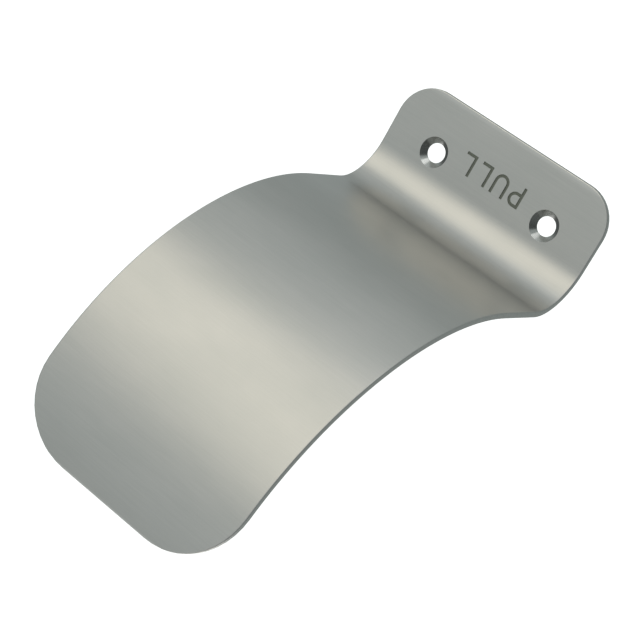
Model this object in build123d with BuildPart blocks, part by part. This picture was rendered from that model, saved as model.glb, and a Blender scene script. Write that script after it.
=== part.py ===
from build123d import *
import os

# Hands-free door pull, folded from one blank of satin stainless sheet. The flange screws
# flat to the door, a small bend turns the leg out into the room, and a wide sweep brings
# the arm back up. A forearm drops in between the arm and the door and draws it open.
#
# Millimetres. X runs across the door and Z is up. The door is the plane Y = 0, the room
# is on its -Y side, and the origin is on the door, midway between the screw holes.

# The blank: it narrows evenly from the flange's free end to the tip of the arm
sheet_thickness = 2.0
flange_end_width = 80.0
tip_width = 76.5
flange_corner_radius = 12.0
tip_corner_radius = 22.0
rim_radius = 0.4

# The folds: each radius is the one on the hollow side of its bend
flange_height = 23.2
base_bend_radius = 14.5
base_bend_angle = 86.0
leg_length = 18.0
sweep_radius = 85.5
sweep_angle = 87.0

# The two screw holes, countersunk from the room side
hole_spacing = 44.0
hole_edge_distance = 17.7
hole_radius = 3.1
countersink_radius = 4.9
countersink_angle = 90.0
drill_overrun = 0.5

across = Vector(1, 0, 0)

# The fold line is the side view of the face that lies against the door. It runs from the
# free end of the flange up the door, out along the leg and up the sweep to the tip.
with BuildLine(Plane.YZ) as fold_line:
    flange_run = Line((0, -hole_edge_distance), (0, flange_height - hole_edge_distance))
    base_bend = JernArc(
        start=flange_run @ 1,
        tangent=flange_run % 1,
        radius=base_bend_radius + sheet_thickness,
        arc_size=base_bend_angle,
    )
    leg_run = Line(base_bend @ 1, base_bend @ 1 + leg_length * (base_bend % 1))
    arm_sweep = JernArc(
        start=leg_run @ 1,
        tangent=leg_run % 1,
        radius=sweep_radius,
        arc_size=-sweep_angle,
    )

flange_end = Plane(flange_run @ 0, x_dir=across, z_dir=flange_run % 0)
tip_end = Plane(arm_sweep @ 1, x_dir=across, z_dir=arm_sweep % 1)

# Seen square to the straight line from the flange's free end to the tip, both sides of
# the folded blank are straight. So its outline is a wedge-shaped block, cut off square
# at the two ends, with its four upright edges rounded to the corners of the blank.
chord = tip_end.origin - flange_end.origin
stock_width = flange_end_width + tip_width


def half_width_at(distance):
    narrowing = (flange_end_width - tip_width) / 2
    return flange_end_width / 2 - narrowing * distance / chord.length


with BuildPart() as blank_outline:
    square_on = Plane(flange_end.origin, x_dir=across, z_dir=across.cross(chord))
    with BuildSketch(square_on):
        with BuildLine():
            low = -chord.length
            high = 2 * chord.length
            right_side = Line((half_width_at(low), low), (half_width_at(high), high))
            left_side = mirror(right_side, about=Plane.YZ)
            Line(right_side @ 0, left_side @ 0)
            Line(right_side @ 1, left_side @ 1)
        make_face()
    extrude(amount=chord.length, both=True)
    for end_plane, kept_side, corner_radius in (
        (flange_end, Keep.TOP, flange_corner_radius),
        (tip_end, Keep.BOTTOM, tip_corner_radius),
    ):
        split(bisect_by=end_plane, keep=kept_side)
        end_face = blank_outline.faces().filter_by(end_plane)[0]
        fillet(end_face.edges().filter_by(Axis.X, reverse=True), radius=corner_radius)

with BuildPart() as pull_plate:
    # Half of the sheet is folded along the line and mirrored, then cut to the outline
    make_brake_formed(
        thickness=sheet_thickness,
        station_widths=stock_width / 2,
        line=fold_line.line,
        side=Side.RIGHT,
    )
    mirror(about=Plane.YZ)
    add(blank_outline.part, mode=Mode.INTERSECT)

    # The rim is eased all round, where the narrow cut faces meet the broad ones
    cut_faces = pull_plate.faces().filter_by(
        lambda face: face.edges().sort_by(SortBy.LENGTH)[0].length < 2 * sheet_thickness
    )
    broad_faces = pull_plate.faces() - cut_faces
    fillet(cut_faces.edges() & broad_faces.edges(), radius=rim_radius)

    with Locations(Plane.XZ.offset(sheet_thickness)):
        with GridLocations(hole_spacing, 0, 2, 1):
            CounterSinkHole(
                radius=hole_radius,
                counter_sink_radius=countersink_radius,
                depth=sheet_thickness + drill_overrun,
                counter_sink_angle=countersink_angle,
            )

pull_plate.part.label = "pull_plate"
os.makedirs("parts", exist_ok=True)
export_step(pull_plate.part, "parts/pull_plate.step")
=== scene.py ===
import math

import bmesh
import bpy
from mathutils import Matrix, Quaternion, Vector


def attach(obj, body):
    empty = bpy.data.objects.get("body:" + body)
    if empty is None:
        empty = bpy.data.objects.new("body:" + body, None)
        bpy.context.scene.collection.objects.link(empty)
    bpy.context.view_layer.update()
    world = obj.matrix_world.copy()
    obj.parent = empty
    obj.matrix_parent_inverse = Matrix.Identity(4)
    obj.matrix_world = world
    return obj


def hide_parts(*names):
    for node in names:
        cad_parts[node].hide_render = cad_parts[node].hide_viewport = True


# Hands-free door pull: one folded plate of satin stainless, with two countersunk screw
# holes and the word PULL sunk into its flange. The plate is cut flat and then folded.
# Sizes in the dictionaries are millimetres and degrees, and the scene is in metres.

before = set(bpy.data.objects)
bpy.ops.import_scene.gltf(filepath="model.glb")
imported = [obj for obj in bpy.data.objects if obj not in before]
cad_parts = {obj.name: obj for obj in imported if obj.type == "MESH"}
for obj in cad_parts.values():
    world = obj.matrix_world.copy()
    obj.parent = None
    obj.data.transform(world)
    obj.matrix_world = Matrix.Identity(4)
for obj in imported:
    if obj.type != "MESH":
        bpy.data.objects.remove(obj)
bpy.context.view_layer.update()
mm = 0.001
slack = 0.001  # mm by which a point may miss a place and still be picked there
print("frame loaded:", sorted(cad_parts))


def metres(x, y, z):
    return Vector((x, y, z)) * mm


def evenly(start, end, steps):
    return [start + (end - start) * step / steps for step in range(steps + 1)]


def linear(hexColour):
    # an sRGB hex colour as linear RGBA
    channels = [int(hexColour[at:at + 2], 16) / 255 for at in (1, 3, 5)]
    light = [c / 12.92 if c <= 0.04045 else ((c + 0.055) / 1.055) ** 2.4 for c in channels]
    return (*light, 1.0)


def onlySelect(piece):
    bpy.ops.object.select_all(action="DESELECT")
    piece.select_set(True)
    bpy.context.view_layer.objects.active = piece


def startEdit(piece):
    onlySelect(piece)
    bpy.ops.object.mode_set(mode="EDIT")
    bpy.ops.mesh.select_all(action="SELECT")


def endEdit():
    bpy.ops.object.mode_set(mode="OBJECT")


def pick(kind, test):
    # in edit mode: selects the points, edges or faces whose middle passes the test, in mm
    bpy.ops.mesh.select_mode(type=kind)
    bpy.ops.mesh.select_all(action="DESELECT")
    mesh = bmesh.from_edit_mesh(bpy.context.object.data)
    for part in {"VERT": mesh.verts, "EDGE": mesh.edges, "FACE": mesh.faces}[kind]:
        points = [part.co] if kind == "VERT" else [point.co for point in part.verts]
        if test(sum(points, Vector()) / len(points) / mm):
            part.select_set(True)
    mesh.select_flush_mode()
    bmesh.update_edit_mesh(bpy.context.object.data)


def topOf(piece):
    # in edit mode: the height of the highest point, in mm
    mesh = bmesh.from_edit_mesh(piece.data)
    return max(point.co.z for point in mesh.verts) / mm


def extrude(x, y, z):
    bpy.ops.mesh.extrude_region_move(TRANSFORM_OT_translate={"value": metres(x, y, z)})


def addPlane(name, width, height, place):
    # an upright plane that faces the room, its place in its mesh
    bpy.ops.object.select_all(action="DESELECT")
    bpy.ops.mesh.primitive_plane_add(
        size=width * mm, location=metres(*place), rotation=(math.radians(90), 0, 0)
    )
    piece = bpy.context.object
    piece.name = name
    bpy.ops.object.transform_apply(location=True, rotation=True, scale=True)
    startEdit(piece)
    bpy.ops.transform.resize(value=(1, 1, height / width), center_override=metres(*place))
    endEdit()
    return piece


def applyModifier(piece, name, kind, settings):
    onlySelect(piece)
    modifier = piece.modifiers.new(name, kind)
    for key, value in settings.items():
        setattr(modifier, key, value)
    bpy.ops.object.modifier_apply(modifier=name)


def cutAway(piece, cutter):
    # the cutter's material comes along onto the faces that it leaves
    applyModifier(piece, "cut", "BOOLEAN", {
        "operation": "DIFFERENCE",
        "solver": "EXACT",
        "object": cutter,
        "material_mode": "TRANSFER",
    })
    bpy.data.objects.remove(cutter)


def addNode(tree, kind, settings=None, inputs=None, links=None):
    node = tree.nodes.new(kind)
    for key, value in (settings or {}).items():
        setattr(node, key, value)
    for key, value in (inputs or {}).items():
        node.inputs[key].default_value = value
    for key, source in (links or {}).items():
        tree.links.new(source, node.inputs[key])
    return node


# settings that several nodes share
eased = {"interpolation_type": "SMOOTHSTEP"}
ofColours = {"data_type": "RGBA"}
dotProduct = {"operation": "DOT_PRODUCT"}


def startMaterial(name):
    material = bpy.data.materials.new(name)
    material.use_nodes = True
    material.node_tree.nodes.clear()
    return material, material.node_tree


# The noise behind the finishes: how ragged its clouds are, and the middle part of its
# values, which each finish spreads over its own range of tone or roughness
noise = {
    "raggedness": 0.55,
    "middle": {"From Min": 0.3, "From Max": 0.7},
}


def addPattern(tree, pattern):
    # clouds of noise as long, deep and high as the pattern's size, in mm
    place = addNode(tree, "ShaderNodeTexCoord")
    stretched = addNode(tree, "ShaderNodeMapping", inputs={
        "Scale": [1 / (length * mm) for length in pattern["size"]],
    }, links={"Vector": place.outputs["Object"]})
    clouds = addNode(tree, "ShaderNodeTexNoise", inputs={
        "Scale": 1.0,
        "Detail": pattern["detail"],
        "Roughness": noise["raggedness"],
    }, links={"Vector": stretched.outputs[0]})
    return clouds.outputs["Fac"]


# AISI 304 sheet, cold rolled and then ground across with a fine belt and fibre wheel. It
# gives a soft silver-grey: no mirror image, only broad gradients that turn warm or cool
# with the room, fine straight lines across the plate, and faint clouds from handling. The
# flange's free edge and the tip carry a painted highlight: their colour is painted
# brighter.
# The real lines are 0.05 to 0.1 mm wide, too fine to show, so they are drawn 0.3 mm wide.
satinSteel = {
    "colour": "#B5B4B1",
    "handledColour": "#B0B0AD",
    # painted highlight: the brighter colour of the flange's free edge and the tip, and the
    # heights over which it fades
    "paintedHighlightColour": "#C2C1BE",
    "paintedHighlightEnds": ((-17.7, -15.4), (110.0, 109.0)),  # heights: each edge, and inwards
    "roughness": (0.34, 0.39),
    "handledRoughness": 0.01,  # more or less, with the clouds
    "lines": {"size": (14.0, 0.3, 0.3), "detail": 2.0},
    "lineDepth": 0.003,
    "lineShade": 0.03,
    "clouds": {"size": (34.0, 16.0, 16.0), "detail": 3.0},
}


def makeSatinSteel():
    material, tree = startMaterial("satinStainlessSteel")
    lines = addPattern(tree, satinSteel["lines"])
    clouds = addPattern(tree, satinSteel["clouds"])
    grooves = addNode(tree, "ShaderNodeBump", inputs={
        "Distance": satinSteel["lineDepth"] * mm,
    }, links={"Height": lines})

    # the roughness of the lines, a little more or less in the clouds
    groundLow, groundHigh = satinSteel["roughness"]
    ground = addNode(tree, "ShaderNodeMapRange", inputs={
        **noise["middle"],
        "To Min": groundLow,
        "To Max": groundHigh,
    }, links={"Value": lines})
    handled = addNode(tree, "ShaderNodeMapRange", inputs={
        **noise["middle"],
        "To Min": -satinSteel["handledRoughness"],
        "To Max": satinSteel["handledRoughness"],
    }, links={"Value": clouds})
    roughness = addNode(tree, "ShaderNodeMath", {"operation": "ADD"}, links={
        0: ground.outputs[0],
        1: handled.outputs[0],
    })

    # the colour: clouds, then a painted highlight at the two ends, then the light and dark
    # of the lines
    tone = addNode(tree, "ShaderNodeMapRange", inputs=noise["middle"], links={
        "Value": clouds,
    })
    colour = addNode(tree, "ShaderNodeMix", ofColours, inputs={
        6: linear(satinSteel["colour"]),
        7: linear(satinSteel["handledColour"]),
    }, links={0: tone.outputs[0]})
    place = addNode(tree, "ShaderNodeTexCoord")
    parts = addNode(tree, "ShaderNodeSeparateXYZ", links={0: place.outputs["Object"]})
    # painted highlight: the colour is painted brighter towards the flange's free edge and
    # the tip
    for edge, inner in satinSteel["paintedHighlightEnds"]:
        paintedHighlight = addNode(tree, "ShaderNodeMapRange", eased, inputs={
            "From Min": edge * mm,
            "From Max": inner * mm,
            "To Min": 1.0,
            "To Max": 0.0,
        }, links={"Value": parts.outputs["Z"]})
        colour = addNode(tree, "ShaderNodeMix", ofColours, inputs={
            7: linear(satinSteel["paintedHighlightColour"]),
        }, links={0: paintedHighlight.outputs[0], 6: colour.outputs[2]})
    shade = addNode(tree, "ShaderNodeMapRange", inputs={
        **noise["middle"],
        "To Min": 1 - satinSteel["lineShade"],
        "To Max": 1 + satinSteel["lineShade"],
    }, links={"Value": lines})
    shaded = addNode(tree, "ShaderNodeHueSaturation", links={
        "Value": shade.outputs[0],
        "Color": colour.outputs[2],
    })

    shader = addNode(tree, "ShaderNodeBsdfPrincipled", inputs={"Metallic": 1.0}, links={
        "Base Color": shaded.outputs[0],
        "Roughness": roughness.outputs[0],
        "Normal": grooves.outputs[0],
    })
    addNode(tree, "ShaderNodeOutputMaterial", links={"Surface": shader.outputs[0]})
    return material


# The same sheet where it was sheared and deburred: duller and rougher than the faces, so
# its edge reads as one even grey line
shearedSteel = {
    "name": "shearedStainlessSteel",
    "colour": "#B1B1AE",
    "lowColour": "#A3A3A0",
    "roughness": (0.44, 0.56),
    "grain": {"size": (0.35, 0.35, 0.35), "detail": 3.0},
    "grainDepth": 0.004,
}

# Acid-etched stainless, darkened by the etch: a dull grey-green with a fine sugary tooth.
# The real tooth is about 0.02 mm, and is drawn 0.25 mm so that it shows.
etchedSteel = {
    "name": "etchedStainlessSteel",
    "colour": "#83867D",
    "lowColour": "#75786F",
    "roughness": (0.6, 0.75),
    "grain": {"size": (0.25, 0.25, 0.25), "detail": 2.0},
    "grainDepth": 0.004,
}


def makeDullSteel(finish):
    # one fine grain gives the relief, the two tones and the roughness
    material, tree = startMaterial(finish["name"])
    grain = addPattern(tree, finish["grain"])
    relief = addNode(tree, "ShaderNodeBump", inputs={
        "Distance": finish["grainDepth"] * mm,
    }, links={"Height": grain})
    tone = addNode(tree, "ShaderNodeMapRange", inputs=noise["middle"], links={
        "Value": grain,
    })
    colour = addNode(tree, "ShaderNodeMix", ofColours, inputs={
        6: linear(finish["colour"]),
        7: linear(finish["lowColour"]),
    }, links={0: tone.outputs[0]})
    smooth, rough = finish["roughness"]
    roughness = addNode(tree, "ShaderNodeMapRange", inputs={
        **noise["middle"],
        "To Min": smooth,
        "To Max": rough,
    }, links={"Value": grain})
    shader = addNode(tree, "ShaderNodeBsdfPrincipled", inputs={"Metallic": 1.0}, links={
        "Base Color": colour.outputs[2],
        "Roughness": roughness.outputs[0],
        "Normal": relief.outputs[0],
    })
    addNode(tree, "ShaderNodeOutputMaterial", links={"Surface": shader.outputs[0]})
    return material


hole = {
    "spacing": 44.0,
    "radius": 3.1,
    "countersinkRadius": 4.9,
    "steps": 64,
    "overrun": 1.0,
}

# The countersinks and bores, turned by the tool: smoother than the faces, so they catch
# sharper lights and darks, with rings round the axis. The real rings are 0.05 mm apart,
# and are drawn 0.35 mm apart so that they show.
turnedSteel = {
    "colour": "#B8B8B5",
    "roughness": 0.19,
    "ringSpacing": 0.35,
    "ringDepth": 0.002,
    "ringWobble": 0.4,
}


def makeTurnedSteel():
    material, tree = startMaterial("turnedStainlessSteel")
    place = addNode(tree, "ShaderNodeTexCoord")
    # both holes share one pattern, because the two sides of the plate are alike
    sides = addNode(tree, "ShaderNodeVectorMath", {"operation": "ABSOLUTE"}, links={
        0: place.outputs["Object"],
    })
    fromAxis = addNode(tree, "ShaderNodeMapping", {"vector_type": "TEXTURE"}, inputs={
        "Location": metres(hole["spacing"] / 2, 0, 0),
        "Scale": [turnedSteel["ringSpacing"] * mm] * 3,
    }, links={"Vector": sides.outputs[0]})
    oneRingPerUnit = math.tau / 20  # the texture's wave turns 20 radians in each unit
    rings = addNode(tree, "ShaderNodeTexWave", {
        "wave_type": "RINGS",
        "rings_direction": "Y",
    }, inputs={
        "Scale": oneRingPerUnit,
        "Distortion": turnedSteel["ringWobble"],
    }, links={"Vector": fromAxis.outputs[0]})
    grooves = addNode(tree, "ShaderNodeBump", inputs={
        "Distance": turnedSteel["ringDepth"] * mm,
    }, links={"Height": rings.outputs["Fac"]})
    shader = addNode(tree, "ShaderNodeBsdfPrincipled", inputs={
        "Base Color": linear(turnedSteel["colour"]),
        "Metallic": 1.0,
        "Roughness": turnedSteel["roughness"],
    }, links={"Normal": grooves.outputs[0]})
    addNode(tree, "ShaderNodeOutputMaterial", links={"Surface": shader.outputs[0]})
    return material


satin = makeSatinSteel()
sheared = makeDullSteel(shearedSteel)
turned = makeTurnedSteel()
etched = makeDullSteel(etchedSteel)
print("finishes ready")

# The plate. Lengths along the blank are those of its room side, which the camera sees.
plate = {
    "thickness": 2.0,
    "flangeEndWidth": 80.0,
    "tipWidth": 76.5,
    "flangeCorner": 12.0,
    "tipCorner": 22.0,
    "rim": 0.4,
    "rimSteps": 3,
    "rimAngle": 45.0,  # edges sharper than this are eased
    "smoothAngle": 35.0,  # edges flatter than this are shaded smooth
    "flangeHeight": 23.2,
    "belowHoles": 17.7,
    "baseRadius": 14.5,
    "baseAngle": 86.0,
    "legLength": 18.0,
    "sweepRadius": 87.5,
    "sweepAngle": 87.0,
    "cornerSteps": 12,
    "baseSteps": 24,
    "sweepStep": 2.3,
    "tipGap": 1.0,  # no row comes nearer to the tip than this
}


def fold(piece, start, length, angle):
    # bends the blank by angle between start and start + length, and carries what is above
    heights = [point.co.z / mm for point in piece.data.vertices]
    lowest, highest = min(heights), max(heights)
    bpy.ops.object.empty_add(location=metres(0, -plate["thickness"], start))
    hinge = bpy.context.object
    applyModifier(piece, "fold", "SIMPLE_DEFORM", {
        "deform_method": "BEND",
        "deform_axis": "X",
        "angle": math.radians(angle),
        "origin": hinge,
        "limits": [(at - lowest) / (highest - lowest) for at in (start, start + length)],
    })
    bpy.data.objects.remove(hinge)


def makePlate():
    bottom = -plate["belowHoles"]
    baseStart = bottom + plate["flangeHeight"]
    baseLength = math.radians(plate["baseAngle"]) * plate["baseRadius"]
    legStart = baseStart + baseLength
    sweepStart = legStart + plate["legLength"]
    sweepLength = math.radians(plate["sweepAngle"]) * plate["sweepRadius"]
    top = sweepStart + sweepLength
    middle = (bottom + top) / 2

    # the flat blank: a tapered sheet with four rounded corners
    piece = addPlane(
        "pullPlate",
        plate["flangeEndWidth"],
        top - bottom,
        (0, -plate["thickness"], middle),
    )
    startEdit(piece)
    pick("EDGE", lambda at: at.z > top - slack)
    narrowing = plate["tipWidth"] / plate["flangeEndWidth"]
    bpy.ops.transform.resize(value=(narrowing, 1, 1), center_override=metres(0, 0, top))
    for radius, side in ((plate["flangeCorner"], -1), (plate["tipCorner"], 1)):
        pick("VERT", lambda at: (at.z - middle) * side > middle - bottom - slack)
        bpy.ops.mesh.bevel(
            offset=radius * mm, segments=plate["cornerSteps"], affect="VERTICES",
            clamp_overlap=False,
        )

    # rows across the blank, so that it can fold
    tipStart = top - plate["tipCorner"]
    quarter = evenly(0, math.radians(90), plate["cornerSteps"])
    tipRows = [top - plate["tipCorner"] * (1 - math.cos(turn)) for turn in quarter]
    sweepSteps = round((tipStart - sweepStart) / plate["sweepStep"])
    rows = evenly(baseStart, legStart, plate["baseSteps"])
    rows += evenly(sweepStart, tipStart, sweepSteps)
    rows += [row for row in tipRows[:-1] if row < top - plate["tipGap"]]
    for row in rows:
        bpy.ops.mesh.select_all(action="SELECT")
        bpy.ops.mesh.bisect(plane_co=metres(0, 0, row), plane_no=(0, 0, 1))
    endEdit()

    fold(piece, sweepStart, sweepLength, plate["sweepAngle"])
    fold(piece, baseStart, baseLength, -plate["baseAngle"])
    piece.data.materials.append(satin)
    piece.data.materials.append(sheared)
    applyModifier(piece, "sheet", "SOLIDIFY", {
        "thickness": plate["thickness"] * mm,
        "offset": -1,
        "use_even_offset": True,
        "material_offset_rim": 1,
    })
    applyModifier(piece, "easedRim", "BEVEL", {
        "width": plate["rim"] * mm,
        "segments": plate["rimSteps"],
        "limit_method": "ANGLE",
        "angle_limit": math.radians(plate["rimAngle"]),
        "use_clamp_overlap": False,
    })
    print("plate folded:", len(piece.data.polygons), "faces")
    return piece


def cutHoles(piece):
    # a drill for the straight bore, flared to the 90 degree countersink on the room side
    sink = hole["countersinkRadius"] - hole["radius"]
    coneStart = -plate["thickness"] + sink
    drillLength = hole["overrun"] - coneStart
    for side in (-1, 1):
        x = side * hole["spacing"] / 2
        bpy.ops.object.select_all(action="DESELECT")
        bpy.ops.mesh.primitive_cylinder_add(
            vertices=hole["steps"], radius=hole["radius"] * mm, depth=drillLength * mm,
            location=metres(x, coneStart + drillLength / 2, 0),
            rotation=(math.radians(90), 0, 0),
        )
        drill = bpy.context.object
        bpy.ops.object.transform_apply(location=True, rotation=True, scale=True)
        startEdit(drill)
        pick("FACE", lambda at: at.y < coneStart + slack)
        length = sink + hole["overrun"]
        extrude(0, -length, 0)
        flare = 1 + length / hole["radius"]
        end = metres(x, coneStart - length, 0)
        bpy.ops.transform.resize(value=(flare, 1, flare), center_override=end)
        endEdit()
        drill.data.materials.append(turned)
        cutAway(piece, drill)
    print("screw holes cut")


# The word: plain upright capitals of one stroke width, sunk into the room side
word = {
    "height": 7.0,
    "baseline": -6.37,
    "stroke": 0.95,
    "depth": 0.2,
    "above": 0.1,  # how far off the plate each cutter starts
    "mergeDistance": 0.01,
    "bowlSteps": 16,
    "footLength": 4.05,
    "cupWidth": 5.1,
    "bowlWidth": 4.5,
    "bowlHeight": 4.75,
    "starts": {"P": -11.5, "U": -5.53, "L": 1.52, "secondL": 7.85},
}


def startStroke(name, x, low, high):
    middle = (x, -plate["thickness"] - word["above"], (low + high) / 2)
    stroke = addPlane(name, word["stroke"], high - low, middle)
    startEdit(stroke)
    return stroke


def spinStroke(x, z, turnsAbout):
    # carries the picked end of a stroke half round the point x, z
    bpy.ops.mesh.spin(
        steps=word["bowlSteps"],
        angle=math.radians(180),
        center=metres(x, -plate["thickness"] - word["above"], z),
        axis=turnsAbout,
    )


def sinkLetter(piece, letter):
    # a flat letter, still in edit mode, becomes a solid cutter
    bpy.ops.mesh.select_all(action="SELECT")
    bpy.ops.mesh.remove_doubles(threshold=word["mergeDistance"] * mm)
    extrude(0, word["above"] + word["depth"], 0)
    bpy.ops.mesh.select_all(action="SELECT")
    bpy.ops.mesh.normals_make_consistent(inside=False)
    endEdit()
    letter.data.materials.append(etched)
    cutAway(piece, letter)


def sinkL(piece, start):
    stroke = word["stroke"]
    low = word["baseline"]
    letter = startStroke("letterL", start + stroke / 2, low + stroke, low + word["height"])
    pick("EDGE", lambda at: at.z < low + stroke + slack)
    extrude(0, 0, -stroke)
    pick("EDGE", lambda at: at.x > start + stroke - slack and at.z < low + stroke)
    extrude(word["footLength"] - stroke, 0, 0)
    sinkLetter(piece, letter)


def sinkU(piece, start):
    radius = word["cupWidth"] / 2
    middle = start + radius
    low = word["baseline"] + radius
    high = word["baseline"] + word["height"]
    letter = startStroke("letterU", start + word["stroke"] / 2, low, high)
    pick("EDGE", lambda at: at.z < low + slack)
    spinStroke(middle, low, (0, 1, 0))
    pick("EDGE", lambda at: abs(at.z - low) < slack and at.x > middle)
    extrude(0, 0, high - low)
    sinkLetter(piece, letter)


def sinkP(piece, start):
    stroke = word["stroke"]
    high = word["baseline"] + word["height"]
    radius = word["bowlHeight"] / 2
    barEnd = start + word["bowlWidth"] - radius
    under = high - word["bowlHeight"]

    def inBar(z):
        return under < z < under + stroke or high - stroke < z < high

    letter = startStroke("letterP", start + stroke / 2, word["baseline"], under)
    for rise in (stroke, word["bowlHeight"] - 2 * stroke, stroke):
        pick("EDGE", lambda at: at.z > topOf(letter) - slack)
        extrude(0, 0, rise)
    pick("EDGE", lambda at: at.x > start + stroke - slack and inBar(at.z))
    extrude(barEnd - start - stroke, 0, 0)
    pick("EDGE", lambda at: at.x > barEnd - slack and at.z > high - stroke)
    spinStroke(barEnd, high - radius, (0, -1, 0))
    sinkLetter(piece, letter)


pullPlate = makePlate()
cutHoles(pullPlate)
sinkP(pullPlate, word["starts"]["P"])
sinkU(pullPlate, word["starts"]["U"])
sinkL(pullPlate, word["starts"]["L"])
sinkL(pullPlate, word["starts"]["secondL"])
print("word sunk")

onlySelect(pullPlate)
bpy.ops.object.shade_smooth_by_angle(angle=math.radians(plate["smoothAngle"]))
applyModifier(pullPlate, "evenShading", "WEIGHTED_NORMAL", {"keep_sharp": True})
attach(pullPlate, "root")
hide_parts("pull_plate")
print("plate finished:", len(pullPlate.data.polygons), "faces")

# Matt white background paper. Its own even glow makes it plain white in every view, and it
# neither lights the pull nor takes its shadow.
whitePaper = {
    "colour": "#F4F4F2",
    "roughness": 0.9,
    "glowColour": "#FFFFFF",
    "glow": 0.75,
}

# The stage: a round paper cove far below, as for a pull at its height on a door
stage = {
    "floor": -1000.0,
    "radius": 3000.0,
    "sides": 96,
    "rise": 1200.0,
    "wallTop": 3500.0,
    "steps": 12,
}


def makeWhitePaper():
    material, tree = startMaterial("whitePaper")
    shader = addNode(tree, "ShaderNodeBsdfPrincipled", inputs={
        "Base Color": linear(whitePaper["colour"]),
        "Roughness": whitePaper["roughness"],
        "Emission Color": linear(whitePaper["glowColour"]),
        "Emission Strength": whitePaper["glow"],
    })
    addNode(tree, "ShaderNodeOutputMaterial", links={"Surface": shader.outputs[0]})
    return material


def raiseRim(cove, height, widening):
    top = topOf(cove)
    pick("EDGE", lambda at: at.z > top - slack)
    extrude(0, 0, height - top)
    bpy.ops.transform.resize(
        value=(widening, widening, 1), center_override=metres(0, 0, height)
    )


def makeStage():
    bpy.ops.object.select_all(action="DESELECT")
    bpy.ops.mesh.primitive_circle_add(
        vertices=stage["sides"], radius=stage["radius"] * mm, fill_type="NGON",
        location=metres(0, 0, stage["floor"]),
    )
    cove = bpy.context.object
    cove.name = "paperCove"
    bpy.ops.object.transform_apply(location=True, rotation=True, scale=True)
    startEdit(cove)
    radius = stage["radius"]
    for turn in evenly(0, math.radians(90), stage["steps"])[1:]:
        nextRadius = stage["radius"] + stage["rise"] * math.sin(turn)
        height = stage["floor"] + stage["rise"] * (1 - math.cos(turn))
        raiseRim(cove, height, nextRadius / radius)
        radius = nextRadius
    raiseRim(cove, stage["wallTop"], 1)
    endEdit()
    bpy.ops.object.shade_smooth()
    cove.data.materials.append(makeWhitePaper())
    for rays in ("diffuse", "glossy", "transmission", "shadow"):
        setattr(cove, "visible_" + rays, False)
    print("stage ready")


makeStage()

# One long warm softbox low on the right with a soft frosted frame round it, a small one
# below that the countersinks catch, and one behind that lights only the back. The walls
# are pale and cool and the ceiling is white. Two narrow upright strips of the walls, at
# opposite ends, are dark: the turned countersinks mirror them, and the satin sheet blurs
# them out.
lights = {
    "aim": (0, -55, 50),
    "walls": {"colour": "#F4FFFE", "strength": 0.5},
    "ceiling": {"colour": "#FFFFFF", "strength": 0.85, "from": 0.35, "to": 0.95},
    "darkStrips": {
        "across": (-0.5, 0.866, 0),  # level, and square to both strips
        "dark": 0.13,  # the sine of the angle to which a strip is at its darkest
        "gone": 0.28,  # and of the angle at which it has gone
        "share": 0.18,  # of the walls' light that a strip keeps
        "ends": [
            {"towards": (-0.86, -0.5, 0.03), "from": 0.55, "to": 0.72},
            {"towards": (0.82, 0.47, 0.32), "from": 0.76, "to": 0.88},
        ],
    },
    "softboxes": {
        "keySoftbox": {
            "place": (502, -1010, -713),
            "size": (1423, 628),
            "roll": -46.3,
            "colour": "#FFF5E1",
            "power": 3.03,
        },
        "frostedFrame": {
            "place": (143, -379, -184),
            "size": (2280, 916),
            "roll": -50.8,
            "colour": "#FFFFFF",
            "power": 1.49,
        },
        "lowSoftbox": {
            "place": (50, -340, -815),
            "size": (440, 260),
            "roll": 0,
            "colour": "#FFFFFF",
            "power": 0.34,
        },
        "backSoftbox": {
            "place": (0, 500, 950),
            "size": (600, 600),
            "roll": 0,
            "colour": "#FFFAF4",
            "power": 3.0,
        },
    },
}


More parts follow.
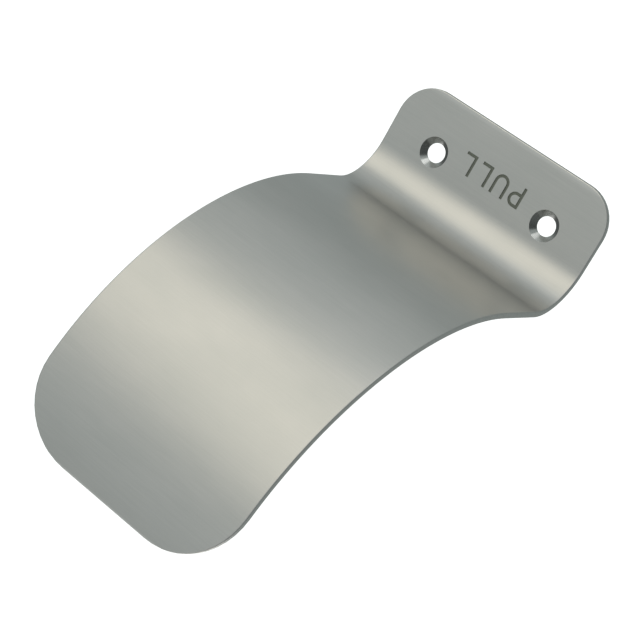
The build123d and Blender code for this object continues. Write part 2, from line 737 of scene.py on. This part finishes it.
def makeRoom():
    # the walls and the ceiling, as a world that only gives light
    world = bpy.data.worlds.new("studioFill")
    bpy.context.scene.world = world
    world.use_nodes = True
    tree = world.node_tree
    tree.nodes.clear()
    walls, ceiling, strips = lights["walls"], lights["ceiling"], lights["darkStrips"]
    towards = addNode(tree, "ShaderNodeTexCoord").outputs["Generated"]

    # from the walls to the ceiling, in colour and in strength
    parts = addNode(tree, "ShaderNodeSeparateXYZ", links={0: towards})
    climb = {"From Min": ceiling["from"], "From Max": ceiling["to"]}
    overhead = addNode(tree, "ShaderNodeMapRange", eased, inputs=climb, links={
        "Value": parts.outputs["Z"],
    })
    colour = addNode(tree, "ShaderNodeMix", ofColours, inputs={
        6: linear(walls["colour"]),
        7: linear(ceiling["colour"]),
    }, links={0: overhead.outputs[0]})
    strength = addNode(tree, "ShaderNodeMapRange", eased, inputs={
        **climb,
        "To Min": walls["strength"],
        "To Max": ceiling["strength"],
    }, links={"Value": parts.outputs["Z"]})

    # the two dark strips take most of that strength away
    across = addNode(tree, "ShaderNodeVectorMath", dotProduct, inputs={
        1: strips["across"],
    }, links={0: towards})
    aside = addNode(tree, "ShaderNodeMath", {"operation": "ABSOLUTE"}, links={
        0: across.outputs["Value"],
    })
    inStrip = addNode(tree, "ShaderNodeMapRange", eased, inputs={
        "From Min": strips["dark"],
        "From Max": strips["gone"],
        "To Min": 1.0,
        "To Max": 0.0,
    }, links={"Value": aside.outputs[0]})
    for end in strips["ends"]:
        facing = addNode(tree, "ShaderNodeVectorMath", dotProduct, inputs={
            1: end["towards"],
        }, links={0: towards})
        taken = addNode(tree, "ShaderNodeMapRange", eased, inputs={
            "From Min": end["from"],
            "From Max": end["to"],
            "To Max": strips["share"] - 1,
        }, links={"Value": facing.outputs["Value"]})
        kept = addNode(tree, "ShaderNodeMath", {"operation": "MULTIPLY_ADD"}, inputs={
            2: 1.0,
        }, links={0: inStrip.outputs[0], 1: taken.outputs[0]})
        strength = addNode(tree, "ShaderNodeMath", {"operation": "MULTIPLY"}, links={
            0: strength.outputs[0],
            1: kept.outputs[0],
        })
    room = addNode(tree, "ShaderNodeBackground", links={
        "Color": colour.outputs[2],
        "Strength": strength.outputs[0],
    })
    addNode(tree, "ShaderNodeOutputWorld", links={"Surface": room.outputs[0]})
    print("room ready")


def aimAt(place, aim, roll):
    # the turn of a lamp or camera at place that looks towards aim, rolled by some degrees
    ahead = (metres(*aim) - metres(*place)).to_track_quat("-Z", "Y")
    return ahead @ Quaternion((0, 0, 1), math.radians(roll))


def makeSoftboxes():
    for name, box in lights["softboxes"].items():
        light = bpy.data.lights.new(name, "AREA")
        light.shape = "RECTANGLE"
        light.size, light.size_y = (side * mm for side in box["size"])
        light.color = linear(box["colour"])[:3]
        light.energy = box["power"]
        lamp = bpy.data.objects.new(name, light)
        lamp.location = metres(*box["place"])
        lamp.rotation_mode = "QUATERNION"
        lamp.rotation_quaternion = aimAt(box["place"], lights["aim"], box["roll"])
        lamp.visible_camera = False
        bpy.context.scene.collection.objects.link(lamp)
    print("softboxes ready")


makeRoom()
makeSoftboxes()

# The camera of the photograph: low, to the left of the pull, and rolled far over
camera = {
    "place": (-242.73, -538.38, -83.73),
    "aim": (27.58, -0.65, 65.19),
    "roll": -150.23,
    "lens": 109.291,
    "sensor": 36.0,
}


def makeCamera():
    lens = bpy.data.cameras.new("photoCamera")
    lens.sensor_width = camera["sensor"]
    lens.lens = camera["lens"]
    eye = bpy.data.objects.new("photoCamera", lens)
    eye.location = metres(*camera["place"])
    eye.rotation_mode = "QUATERNION"
    eye.rotation_quaternion = aimAt(camera["place"], camera["aim"], camera["roll"])
    bpy.context.scene.collection.objects.link(eye)
    bpy.context.scene.camera = eye
    bpy.context.scene.view_settings.view_transform = "Standard"
    print("camera ready")


makeCamera()
